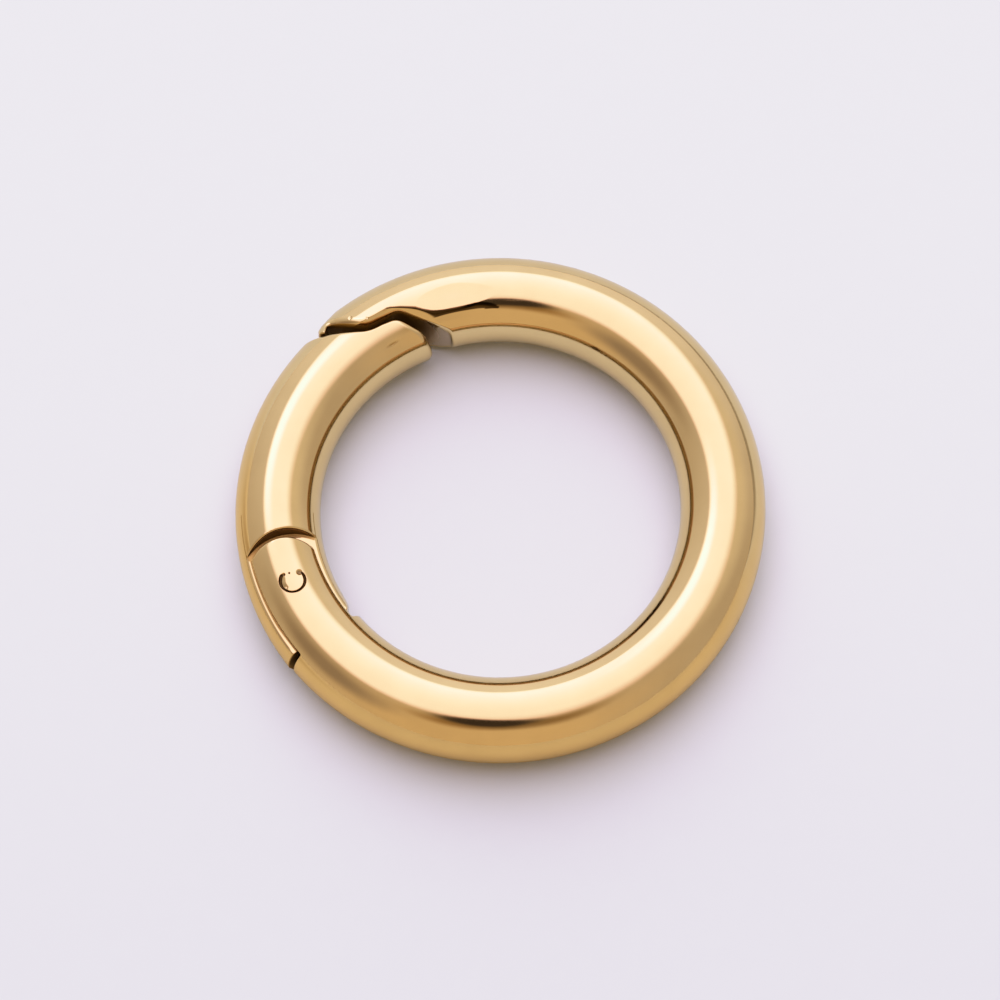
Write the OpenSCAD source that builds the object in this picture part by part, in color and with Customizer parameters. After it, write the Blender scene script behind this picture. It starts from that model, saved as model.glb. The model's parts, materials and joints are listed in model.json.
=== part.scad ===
// Spring gate ring: a closed ring of round wire with an arc of it hinged as a gate.
// The ring lies flat, its axis along +Z, with the origin under its centre on the surface it rests on.
// Directions are angles in plan, anticlockwise from +X; the gate is on the -X side and opens inwards.

/* [Ring] */
// Outer diameter of the ring
ring_od = 25; // [24:0.5:30]
// Diameter of the round wire
wire_d = 4; // [3.8:0.1:4.2]

/* [Hinge] */
// Direction of the hinge pin
pin_angle = 202.8; // [201:0.1:205]
// Diameter of the hinge pin
pin_d = 1.2; // [1:0.1:1.4]
// Radial clearance round the pin in the fork's cheeks
cheek_clearance = 0.02; // [0.01:0.01:0.05]
// Radial clearance round the pin in the gate's tongue
tongue_clearance = 0.06; // [0.03:0.01:0.1]
// Height of the slot between the fork's cheeks
slot_h = 2.56; // [2.3:0.02:2.7]
// Gap above and below the tongue in the slot
tongue_gap = 0.05; // [0.03:0.01:0.1]
// Radius of the cheeks' round ends
cheek_r = 2.2; // [2.1:0.01:2.25]
// How far outwards of the pin the cheeks' round ends are centred
cheek_shift = 0.2; // [0:0.05:0.25]
// Radius of the gate's hollow shoulder, about the pin
shoulder_r = 2.58; // [2.55:0.01:2.8]
// Distance from the pin to the slot's end wall
slot_reach = 2.94; // [2.9:0.02:3.2]
// Angle between that wall and the radial line through the pin
slot_skew = 14.8; // [10:0.1:18]
// Gap between the tongue's end and the slot's end wall
tongue_end_gap = 0.2; // [0.18:0.02:0.4]
// Radius of the tongue's inner end corner, which clears the wall as the gate opens
tongue_corner_r = 1.1; // [1:0.05:1.2]

/* [Nose joint] */
// Direction of the middle of the joint between the gate's nose and the ring's hook
joint_angle = 118; // [116:0.5:120]
// Angle by which the closed gate lies inside the ring's own circle
gate_droop = 1.2; // [0:0.1:1.5]

/* [Spring] */
// Diameter of the spring's blind hole in the slot's end wall
spring_hole_d = 1; // [0.8:0.05:1.1]
// Depth of that hole
spring_hole_depth = 3.5; // [2.5:0.1:4]
// How far inwards of the pin the hole is drilled
spring_shift = 0.75; // [0.6:0.05:0.8]
// Diameter of the spring's wire
spring_wire_d = 0.16; // [0.12:0.01:0.2]

/* [Hidden] */
$fn = 96;

wire_r = wire_d / 2;
ring_r = ring_od / 2 - wire_r;
pin_xy = ring_r * [cos(pin_angle), sin(pin_angle)];
slot_angle = pin_angle + slot_skew;
tongue_reach = slot_reach - tongue_end_gap;
// Centre of the tongue's round corner, which meets its end and the inside of the wire
tongue_corner_y = tongue_reach - tongue_corner_r;
tongue_corner_x = sqrt(pow(ring_r - wire_r + tongue_corner_r, 2)
    - pow(ring_r * sin(slot_skew) - tongue_corner_y, 2)) - ring_r * cos(slot_skew);
beyond = ring_od;
size_k = wire_d / 4;
arc_steps = 6;
coil_gap = 0.03;
coil_clearance = 0.07;
gold = [0.86, 0.69, 0.38];
steel = [0.6, 0.6, 0.62];

// Outlines of the nose joint in plan, from the outside of the ring to its hole, for a 4 mm wire:
// mm along the wire from the joint's middle (towards the hook), mm outwards across it, corner radius.
gate_outline = [
    [-6.00, 1.87, 0],
    [-1.42, -0.47, 1.6],
    [0.04, -0.45, 0.7],
    [1.02, -2.45, 0]
];
hook_outline = [
    [-2.30, 2.10, 0],
    [-3.40, 1.05, 0.35],
    [-3.42, 0.66, 0.1],
    [-3.16, 0.55, 0.08],
    [-3.06, 0.98, 0.1],
    [-1.35, -0.04, 1.2],
    [0.12, 0.04, 1],
    [2.07, -1.95, 0.25],
    [2.03, -2.80, 0]
];

function unit(v) = v / norm(v);

// Points of the arc of radius r that rounds the corner at q between p and s.
function corner(p, q, s, r) =
    let (
        a = unit(p - q),
        b = unit(s - q),
        half = acos(a * b) / 2,
        c = q + unit(a + b) * r / sin(half),
        u = q + a * r / tan(half) - c,
        v = q + b * r / tan(half) - c,
        turn = cross(u, v) > 0 ? 180 - 2 * half : 2 * half - 180,
        start = atan2(u[1], u[0])
    )
    [for (i = [0 : arc_steps]) c + r * [cos(start + turn * i / arc_steps), sin(start + turn * i / arc_steps)]];

function xy(row) = [row[0], row[1]];

// A table of rows [along, across, corner radius] as points, every corner rounded.
function rounded(rows) =
    let (last = len(rows) - 1)
    [
        xy(rows[0]),
        for (k = [1 : last - 1])
            each corner(xy(rows[k - 1]), xy(rows[k]), xy(rows[k + 1]), rows[k][2]),
        xy(rows[last])
    ];

// From the joint's own directions, along and across the wire, to the plan.
function joint_to_plan(p) =
    let (
        out = ring_r + p[1] * size_k,
        on = -p[0] * size_k
    )
    [
        out * cos(joint_angle) - on * sin(joint_angle),
        out * sin(joint_angle) + on * cos(joint_angle)
    ];

// The whole round wire, bent into a ring.
module wire_ring() {
    translate([0, 0, wire_r])
        rotate_extrude()
            translate([ring_r, 0])
                circle(r = wire_r);
}

// Turns its children about the pin, anticlockwise seen from above.
module about_pin(angle) {
    translate([pin_xy[0], pin_xy[1], 0])
        rotate(angle)
            translate([-pin_xy[0], -pin_xy[1], 0])
                children();
}

// The wire that the gate is cut from, as it lies when closed.
module gate_wire() {
    about_pin(-gate_droop)
        wire_ring();
}

// Places its children at the pin: x outwards along the slot's end wall, y from the gate to the wall.
module at_slot() {
    translate([pin_xy[0], pin_xy[1], 0])
        rotate(slot_angle)
            children();
}

// Plan of the sector between a nose outline and the radial line through the pin.
module gate_sector(rows) {
    polygon([
        for (p = rounded(rows)) joint_to_plan(p),
        [0, 0],
        beyond * [cos(pin_angle), sin(pin_angle)],
        beyond * [cos((pin_angle + joint_angle) / 2), sin((pin_angle + joint_angle) / 2)]
    ]);
}

// A prism of its plan, tall enough to cut the whole wire.
module through_wire() {
    translate([0, 0, -wire_r])
        linear_extrude(2 * wire_d)
            children();
}

// A prism of its plan, of height h, centred in the wire.
module mid_slab(h) {
    translate([0, 0, wire_r - h / 2])
        linear_extrude(h)
            children();
}

// Plan of the slot between the cheeks, open at the ring's inside, outside and gate end.
module slot_plan() {
    at_slot()
        translate([-beyond / 4, -beyond / 4])
            square([beyond / 2, beyond / 4 + slot_reach]);
}

// Plan of the tongue, its inner end corner rounded.
module tongue_plan() {
    at_slot()
        difference() {
            translate([-wire_d, -shoulder_r - wire_r])
                square([2 * wire_d, tongue_reach + shoulder_r + wire_r]);
            difference() {
                translate([tongue_corner_x - wire_d, tongue_corner_y])
                    square(wire_d);
                translate([tongue_corner_x, tongue_corner_y])
                    circle(r = tongue_corner_r);
            }
        }
}

// The hole for the pin, with the given clearance all round.
module pin_hole(clearance) {
    translate([pin_xy[0], pin_xy[1], -wire_r])
        cylinder(h = 2 * wire_d, r = pin_d / 2 + clearance);
}

// The blind hole that holds the spring, from the slot's end wall into the wire.
module spring_hole() {
    at_slot()
        translate([-spring_shift, slot_reach - wire_r / 2, wire_r])
            rotate([-90, 0, 0])
                cylinder(h = spring_hole_depth + wire_r / 2, d = spring_hole_d);
}

module ring_body() {
    color(gold)
        difference() {
            wire_ring();
            through_wire()
                difference() {
                    gate_sector(hook_outline);
                    translate((ring_r + cheek_shift) / ring_r * pin_xy)
                        circle(r = cheek_r);
                }
            mid_slab(slot_h)
                slot_plan();
            pin_hole(cheek_clearance);
            spring_hole();
        }
}

module gate() {
    color(gold)
        difference() {
            intersection() {
                gate_wire();
                union() {
                    through_wire()
                        difference() {
                            gate_sector(gate_outline);
                            translate(pin_xy)
                                circle(r = shoulder_r);
                        }
                    mid_slab(slot_h - 2 * tongue_gap)
                        tongue_plan();
                }
            }
            pin_hole(tongue_clearance);
        }
}

module hinge_pin() {
    color(gold)
        intersection() {
            wire_ring();
            translate([pin_xy[0], pin_xy[1], -wire_r])
                cylinder(h = 2 * wire_d, d = pin_d);
        }
}

// The spring pressed close in its hole: rings of wire that touch along its length.
module gate_spring() {
    coil_r = spring_hole_d / 2 - coil_clearance - spring_wire_d / 2;
    pitch = spring_wire_d - coil_gap;
    turns = floor((spring_hole_depth - 2 * coil_clearance - spring_wire_d) / pitch);
    color(steel)
        at_slot()
            translate([-spring_shift, slot_reach + coil_clearance + spring_wire_d / 2, wire_r])
                rotate([-90, 0, 0])
                    rotate_extrude()
                        for (i = [0 : turns])
                            translate([coil_r, i * pitch])
                                circle(d = spring_wire_d, $fn = 24);
}

ring_body();
gate();
hinge_pin();
gate_spring();
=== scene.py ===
"""A gold spring gate ring on a pale floor: its pieces, their finishes, and the stage around them."""

import json
import math

import bpy
import numpy as np
from mathutils import Matrix, Vector


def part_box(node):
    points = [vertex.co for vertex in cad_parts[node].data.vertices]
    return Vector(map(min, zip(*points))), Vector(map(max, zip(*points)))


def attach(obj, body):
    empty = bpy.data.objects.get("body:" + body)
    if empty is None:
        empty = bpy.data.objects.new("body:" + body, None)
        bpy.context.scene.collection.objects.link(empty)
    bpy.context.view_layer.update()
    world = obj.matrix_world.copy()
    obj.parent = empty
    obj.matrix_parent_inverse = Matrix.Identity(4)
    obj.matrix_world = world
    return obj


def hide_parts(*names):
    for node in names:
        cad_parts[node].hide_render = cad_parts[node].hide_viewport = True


bl_info = {
    "name": "Spring gate ring",
    "version": (1, 0, 0),
    "blender": (4, 5, 0),
    "location": "3D View > Sidebar > Spring Gate Ring",
    "description": "Builds a polished round-wire ring with a hinged gate, and a small studio around it",
    "category": "Add Mesh",
}

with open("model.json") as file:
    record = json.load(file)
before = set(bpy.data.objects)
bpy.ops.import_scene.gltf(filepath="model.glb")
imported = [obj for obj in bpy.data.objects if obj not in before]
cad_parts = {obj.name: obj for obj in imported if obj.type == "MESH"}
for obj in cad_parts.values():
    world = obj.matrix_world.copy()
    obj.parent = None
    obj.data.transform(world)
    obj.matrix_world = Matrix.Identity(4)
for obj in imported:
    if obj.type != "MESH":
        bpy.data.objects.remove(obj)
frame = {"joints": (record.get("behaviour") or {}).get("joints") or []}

MM = 0.001
# The mesh carries two values of painted shade: one darkens cut faces, recesses and crevices, the other
# paints a pale reflection on the hook's end wall and shade in its crease.
PAINTED_SHADE_NAME, SHADE = "painted_shade", "shade"
RING_LO, RING_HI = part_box("ring_body")
HINGE = next(joint for joint in frame["joints"] if joint["name"] == "gate_hinge")

# Outlines of the nose joint seen from above, from the outside of the ring to its hole, for a 4 mm wire:
# mm along the wire from the joint's middle (towards the hook), mm outwards across it, corner radius.
OUTLINE_WIRE_D = 4.0
GATE_OUTLINE = (
    (-6.00, 2.02, 0),
    (-1.42, -0.37, 1.6),
    (0.06, -0.40, 0.7),
    (0.88, -1.42, 1.2),
    (1.13, -2.45, 0),
)
HOOK_OUTLINE = (
    (-2.30, 2.10, 0),
    (-3.42, 1.03, 0.3),
    (-3.46, 0.78, 0.1),
    (-3.20, 0.66, 0.08),
    (-2.86, 1.02, 0.18),
    (-1.44, -0.17, 1.2),
    (0.26, -0.115, 0.6),
    (2.07, -1.95, 0.25),
    (2.03, -2.80, 0),
)

# Rounding of the hook's edge: mm along the wire as above, radius in mm.
HOOK_ROUNDING = (
    (-3.45, 0.12), (-3.10, 0.20), (-2.80, 0.34), (-2.50, 0.46), (-1.50, 0.46), (-0.6, 0.34), (0.1, 0.22),
    (1.2, 0.09),
)
# Rounding of the nose's edge, in the same way.
NOSE_ROUNDING = ((-0.7, 0.12), (0.2, 0.27), (0.6, 0.34))

# Flats filed on the hook's top, two wide ones and a narrow one between: direction round the ring in degrees
# and depth there in mm. A flat leaves the metal where its depth is below 0.
SIDE_FLAT = (
    (85, -0.05), (90, 0.0), (94, 0.02), (104.4, 0.019), (107.3, 0.018), (108.9, 0.046), (112, 0.15),
    (115, 0.265), (119, 0.44), (126, 0.42), (130, 0.44), (140, 0.5),
)
EDGE_FLAT = (
    (94, -0.02), (97, 0.012), (100, 0.019), (104.4, 0.0165), (107.3, 0.018), (108.9, 0.016), (110.5, 0.026),
    (112, 0.039), (115, 0.103), (117, 0.160), (119, 0.216), (120.2, 0.19), (121, 0.15), (124, 0.10),
    (140, 0.1),
)
TOP_FLAT = (
    (85, -0.07), (90, 0.0), (95, 0.05), (100, 0.10), (104.4, 0.09), (108.9, 0.05), (112, 0.0), (114, -0.06),
)
# The depths are averaged over these shifts in degrees, which rounds off the tables' kinks.
FLAT_SHIFTS = (-1.2, -0.6, 0, 0.6, 1.2)

# The painted dark line of shade in the crease between the flats: direction round the ring in degrees, width
# in mm.
CREASE_WIDTHS = (
    (88, 0.0), (90, 0.07), (92, 0.10), (95, 0.11), (97, 0.12), (100, 0.15), (104.4, 0.13), (108.7, 0.18),
    (112, 0.15), (115.5, 0.14), (118.5, 0.12), (120, 0.0),
)

# The painted dark line runs this far to one side of the line where the flats meet, and only over the wire's
# top:
# from this angle round its section, in radians from the ring's inside.
CREASE_SHIFT = 0.008 * MM
CREASE_FROM = 1.0

# Small nicks in the hook's top: direction round the ring and angle round the wire's section from the ring's
# inside, both in degrees, and radius in mm.
HOOK_NICKS = (
    (127.4, 114.4, 0.10),
    (124.3, 98.4, 0.08),
)

# A small dent in the nose's top: the same two angles, then its length, width and depth in mm.
NOSE_DENT = (123.4, 55, 0.42, 0.085, 0.022)

# The open groove round most of the rivet's head: direction from the pin in degrees, width in mm.
GROOVE_WIDTHS = (
    (145, 0.0), (156, 0.13), (180, 0.145), (200, 0.13), (225, 0.09), (255, 0.065),
    (270, 0.065), (300, 0.085), (330, 0.095), (360, 0.11), (385, 0.105), (400, 0.08), (416, 0.0),
)

# Hollows in the rivet's head: direction from the pin in degrees, distance from it, radius and depth in mm.
RIVET_HOLLOWS = (
    (49, 0.48, 0.16, 0.075),
    (150, 0.49, 0.09, 0.080),
    (232, 0.47, 0.09, 0.050),
    (117, 0.35, 0.05, 0.110),
)

# The lean of that head down to its groove: direction from the pin, how far round from there it is full and
# how far it ends, all in degrees, and its depth in mm.
RIVET_LEAN = (195, 20, 55, 0.05)

# The head stands this much proud of the skin. Between these distances from the pin it sinks as far under.
RIVET_PROUD = 0.003 * MM
RIVET_RIM = (0.80 * MM, 0.86 * MM)

# Painted shade is counted in mm of depth below the skin. Cut faces polished with the skin keep a share of
# theirs.
POLISHED_SHARE = 0.4
LIP_SHADE, DENT_SHADE, TONGUE_SIDE_SHADE, SHOULDER_SHADE, TONGUE_END_SHADE = 0.4, 0.26, 0.3, 0.6, 2.7
# The hook's tip keeps less of its painted shade.
TIP_LOSS = 0.6
# Painted-shade values between which a face turns from clean to gold darkened by painted recess shade, on
# the ring and gate and on the rivet, and those between which it turns to near-black painted shade.
RECESS_SPAN = (0.08, 0.3)
RIVET_RECESS_SPAN = (0.02, 0.09)
CREVICE_SHADE_SPAN = (2.2, 3.2)
# Marks on the hook lie no further than this inwards of the nose joint's middle.
HOOK_REACH = 4 * MM


def length(name, about, default):
    """A length in metres, shown in the sidebar."""
    return bpy.props.FloatProperty(name=name, description=about, default=default, min=0, precision=5,
                                   unit="LENGTH")


def turn(name, about, degrees):
    """An angle, shown in degrees."""
    return bpy.props.FloatProperty(name=name, description=about, default=math.radians(degrees),
                                   unit="ROTATION")


def share(name, about, default, highest=1.0):
    """A plain number from 0 to its highest value."""
    return bpy.props.FloatProperty(name=name, description=about, default=default, min=0, max=highest)


def tint(name, about, default):
    """A linear colour."""
    return bpy.props.FloatVectorProperty(name=name, description=about, default=default, size=3,
                                         subtype="COLOR", min=0, max=4)


class RingSizes(bpy.types.PropertyGroup):
    """Sizes of the ring, its hinge and its nose joint."""

    ring_od: length("Ring diameter", "Outer diameter of the ring", 2 * RING_HI.x)
    wire_d: length("Wire diameter", "Diameter of the round wire", RING_HI.z - RING_LO.z)
    pin_d: length("Pin diameter", "Diameter of the rivet's shank", 1.2 * MM)
    pin_hole_d: length("Pin hole", "Diameter of the holes in the fork's cheeks", 1.24 * MM)
    head_r: length("Head radius", "Radius of the rivet's spread heads, sunk into the cheeks", 0.735 * MM)
    head_depth: length("Head depth", "Depth of those heads", 0.3 * MM)
    tongue_hole_d: length("Tongue hole", "Diameter of the hole in the gate's tongue", 1.32 * MM)
    slot_h: length("Slot height", "Height of the slot between the fork's cheeks", 2.56 * MM)
    tongue_gap: length("Tongue gap", "Gap above and below the tongue in the slot", 0.2 * MM)
    cheek_r: length("Cheek radius", "Radius of the cheeks' round ends", 2.2 * MM)
    cheek_shift: length("Cheek shift", "How far outwards of the pin those ends are centred", 0.2 * MM)
    shoulder_r: length("Shoulder radius", "Radius of the gate's hollow shoulder, about the pin", 2.58 * MM)
    slot_reach: length("Slot reach", "Distance from the pin to the slot's end wall", 2.94 * MM)
    slot_skew: turn("Slot skew", "Angle between that wall and the radial line through the pin", 14.8)
    tongue_end_gap: length("Tongue end gap", "Gap between the tongue's end and the slot's", 0.27 * MM)
    tongue_corner_r: length("Tongue corner", "Radius of the tongue's inner end corner", 1.1 * MM)
    joint_angle: turn("Nose joint", "Direction of the middle of the nose joint", 118)
    gate_droop: turn("Gate droop", "Angle by which the closed gate lies inside the ring's circle", 1.2)
    spring_hole_d: length("Spring hole", "Diameter of the blind hole for the spring", 1 * MM)
    spring_hole_depth: length("Spring hole depth", "Depth of that hole", 3.5 * MM)
    spring_shift: length("Spring shift", "How far inwards of the pin the hole is drilled", 0.75 * MM)
    spring_wire_d: length("Spring wire", "Diameter of the spring's wire", 0.16 * MM)
    spring_pitch: length("Spring pitch", "Rise of the spring for each turn", 0.3 * MM)


class EdgeRoundings(bpy.types.PropertyGroup):
    """Radii of the polished edges, and the flats and the groove."""

    cheek: length("Cheek edge", "Rounding of the cheeks' round ends", 0.08 * MM)
    slot: length("Slot edge", "Rounding of the slot's long edges", 0.07 * MM)
    shoulder: length("Shoulder edge", "Rounding of the gate's hollow shoulder", 0.09 * MM)
    inner: length("Inner corner", "Rounding of corners inside the joints", 0.06 * MM)
    burnished: length("Burnished rim", "Rounding of tight edges", 0.015 * MM)
    tongue_inner: length("Tongue inner edge", "Rounding of the tongue's edges towards the hole", 0.12 * MM)
    tongue_outer: length("Tongue outer edge", "The same away from the hole", 0.1 * MM)
    tongue_end: length("Tongue end edge", "Rounding of the edges of the tongue's end", 0.05 * MM)
    slot_end: length("Slot end edge", "Rounding of the edges of the slot's end wall", 0.06 * MM)
    crease: length("Crease", "Softness of the creases between the flats on the hook", 0.004 * MM)
    flat_rim: length("Flat rim", "Softness of the edges where those flats run out", 0.006 * MM)
    side_flat_tilt: turn("Side flat tilt", "How steeply the flat beside the gate faces up", 54)
    edge_flat_tilt: turn("Edge flat tilt", "How steeply the narrow flat between the others faces up", 66)
    top_flat_tilt: turn("Top flat tilt", "How steeply the flat on the hook's top faces up", 80)
    groove_r: length("Groove radius", "Radius of the groove round most of the rivet's head", 0.572 * MM)
    groove_shift: length("Groove shift", "How far towards the front that groove is centred", 0.035 * MM)
    groove_depth: length("Groove depth", "Depth of that groove", 0.12 * MM)


class MetalFinish(bpy.types.PropertyGroup):
    """Colours and polish of the metals, and the tints that paint shade and reflections on them."""

    gold: tint("Gold", "Reflected colour of the gold plating", (0.90, 0.65, 0.31))
    # Painted shade in reflections: gold that other gold reflects is darkened by this share.
    gold_in_gold: tint("Gold in gold", "Share of its colour that gold keeps when it is seen in other gold",
                       (0.42, 0.42, 0.42))
    # Painted shade: these tints darken gold on cut faces and in recesses, more the deeper they lie below
    # the skin.
    recess_shade: tint("Recess", "Share of its colour that gold keeps on cut faces", (0.56, 0.44, 0.18))
    gate_recess_shade: tint("Gate recess", "The same for the gate", (0.56, 0.50, 0.33))
    # Painted shade: a near-black tint for the rivet's groove, lean and hollows, the hook's crease and the
    # tongue's end.
    crevice_shade: tint("Dirt", "Share of its colour that gold keeps in the rivet's groove and the hook's crease",
               (0.10, 0.08, 0.05))
    # Painted reflection: a pale bluish tint on the hook's end wall, in place of the shaded floor that the
    # wall would reflect.
    painted_reflection: tint("Bare wall", "Share of its colour that gold keeps on the hook's pale end wall",
               (0.88, 0.95, 1.55))
    steel: tint("Steel", "Reflected colour of the spring's steel", (0.56, 0.56, 0.58))
    polish: share("Gold roughness", "Roughness of the polished gold", 0.09)
    ripple: share("Ripple", "Height of the slow ripple left by polishing, in micrometres", 0.25, 10)
    scratches: share("Scratches", "Strength of the fine scratches", 0.25)
    recess_rough: share("Recess roughness", "Roughness that cut faces have on top", 0.42)
    painted_reflection_polish: share("Bare wall polish", "How much less of it the bare wall has", 0.22)


class StageLook(bpy.types.PropertyGroup):
    """The floor, the light and the camera."""

    floor: tint("Floor", "Colour of the pale floor", (0.78, 0.803, 0.85))
    floor_r: length("Floor radius", "Radius of the floor", 1.5)
    # Painted reflections: where the metal reflects the floor, the floor is darkened and tinted by these
    # shares, warmer before the ring, in place of shade and light thrown by the gold.
    floor_in_metal: tint("Floor in metal", "Share of its colour that the floor keeps in the metal",
                         (0.74, 0.77, 0.70))
    near_floor_in_metal: tint("Near floor in metal", "The same for the floor before the ring",
                              (0.79, 0.68, 0.43))
    left_floor_in_metal: tint("Left floor in metal", "Share of that which is left at the ring's far left",
                              (0.60, 0.54, 0.44))
    right_floor_in_metal: tint("Right floor in metal", "The same at its far right", (0.45, 0.42, 0.36))
    # Painted light: the floor is painted darker towards the camera, in place of light that falls off.
    floor_falloff: share("Floor falloff", "How much darker the floor is towards the camera", 0.12)
    backdrop: tint("Backdrop", "Colour of the room where the camera sees it", (0.85, 0.84, 0.92))
    room: tint("Room light", "Light from all round", (0.49, 0.42, 0.38))
    panel: tint("Panel light", "Colour of the overhead panel above the ring", (1.70, 1.25, 1.46))
    panel_far: tint("Far panel light", "Colour of that panel's far end", (2.2, 1.90, 2.40))
    panel_half_w: share("Panel half width", "Half width of the panel, as a share of its height", 0.67, 4)
    panel_corner: share("Panel corner", "Radius of the panel's corners, as a share of its height", 0.62, 4)
    panel_soft: share("Panel softness", "Half width of its soft right edge, as such a share", 0.26, 4)
    panel_sharp: share("Panel sharpness", "The same for its left edge", 0.13, 4)
    panel_front: bpy.props.FloatProperty(name="Panel front", default=-0.31, min=-4, max=4,
                                         description="Front edge of the panel, as a share of its height")
    panel_back: share("Panel back", "Back edge of the panel, as a share of its height", 1.87, 4)
    panel_fill: tint("Panel fill", "Light that the panel throws on the floor, as a share of its own",
                     (1.90, 2.25, 2.19))
    room_fill: tint("Room fill", "Light that the room throws on the floor, as a share of its own",
                    (0.50, 0.60, 0.57))
    back_fill: tint("Back fill", "The same for the room behind the ring", (3.1, 3.75, 3.6))
    camera_distance: length("Camera distance", "From the middle of the ring to the camera", 0.315)
    camera_elevation: turn("Camera elevation", "Angle of the camera above the floor", 70.18)
    camera_roll: turn("Camera roll", "How far the picture is turned anticlockwise", 1.05)
    camera_lens: bpy.props.FloatProperty(name="Lens", default=241.3, min=1,
                                         description="Focal length in millimetres")
    aim_right: length("Aim right", "How far right of the ring's middle the camera looks", 0.03 * MM)
    aim_up: length("Aim up", "How far above the ring's middle the camera looks", 0.362 * MM)


def unit(v):
    """v at length 1."""
    return v / np.linalg.norm(v)


def direction(angle):
    """The plan direction at an angle from +X."""
    return np.array([math.cos(angle), math.sin(angle)])


def smooth(low, high, x):
    """0 below low, 1 above high, and a smooth rise between."""
    t = np.clip((x - low) / (high - low), 0, 1)
    return t * t * (3 - 2 * t)


def round_max(a, b, radius):
    """The larger of two distances, with an edge of that radius where they meet."""
    over = np.hypot(np.maximum(a + radius, 0), np.maximum(b + radius, 0))
    return np.minimum(-radius, np.maximum(a, b)) + over


def soft_max(a, b, width):
    """The larger of two distances, blended where they differ by less than that width."""
    return np.maximum(a, b) + width / 4 * np.maximum(1 - abs(a - b) / width, 0) ** 2


def round_min(a, b, radius):
    """The smaller of two distances, with an inner corner of that radius where they meet."""
    return -round_max(-a, -b, radius)


class Outline:
    """A line of straight stretches and arcs through a table of corners."""

    def __init__(self, rows, scale):
        rows = np.array(rows, float) * scale
        points, radii = rows[:, :2], rows[:, 2]
        self.lines, self.arcs = [], []
        start = points[0]
        for k in range(1, len(points) - 1):
            back, on = unit(points[k - 1] - points[k]), unit(points[k + 1] - points[k])
            half = math.acos(back @ on) / 2
            reach = radii[k] / math.tan(half)
            centre = points[k] + unit(back + on) * radii[k] / math.sin(half)
            side = math.copysign(1, on[0] * back[1] - on[1] * back[0])
            self.lines.append((start, points[k] + back * reach))
            self.arcs.append((centre, radii[k], side, unit(points[k] - centre), math.pi / 2 - half))
            start = points[k] + on * reach
        self.lines.append((start, points[-1]))

    def left(self, x, y):
        """Distance to the line, above zero on its left side. Its two ends run on for ever."""
        best = np.full(np.shape(x), np.inf)
        for k, (a, b) in enumerate(self.lines):
            run = np.linalg.norm(b - a)
            on = (b - a) / run
            along = (x - a[0]) * on[0] + (y - a[1]) * on[1]
            off = (y - a[1]) * on[0] - (x - a[0]) * on[1]
            low = -np.inf if k == 0 else 0
            high = np.inf if k == len(self.lines) - 1 else run
            found = np.copysign(np.hypot(along - np.clip(along, low, high), off), off)
            best = np.where(abs(found) < abs(best), found, best)
        for centre, radius, side, middle, sweep in self.arcs:
            dx, dy = x - centre[0], y - centre[1]
            away = np.hypot(dx, dy)
            found = side * (radius - away)
            there = dx * middle[0] + dy * middle[1] > away * math.cos(sweep)
            best = np.where(there & (abs(found) < abs(best)), found, best)
        return best


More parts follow.
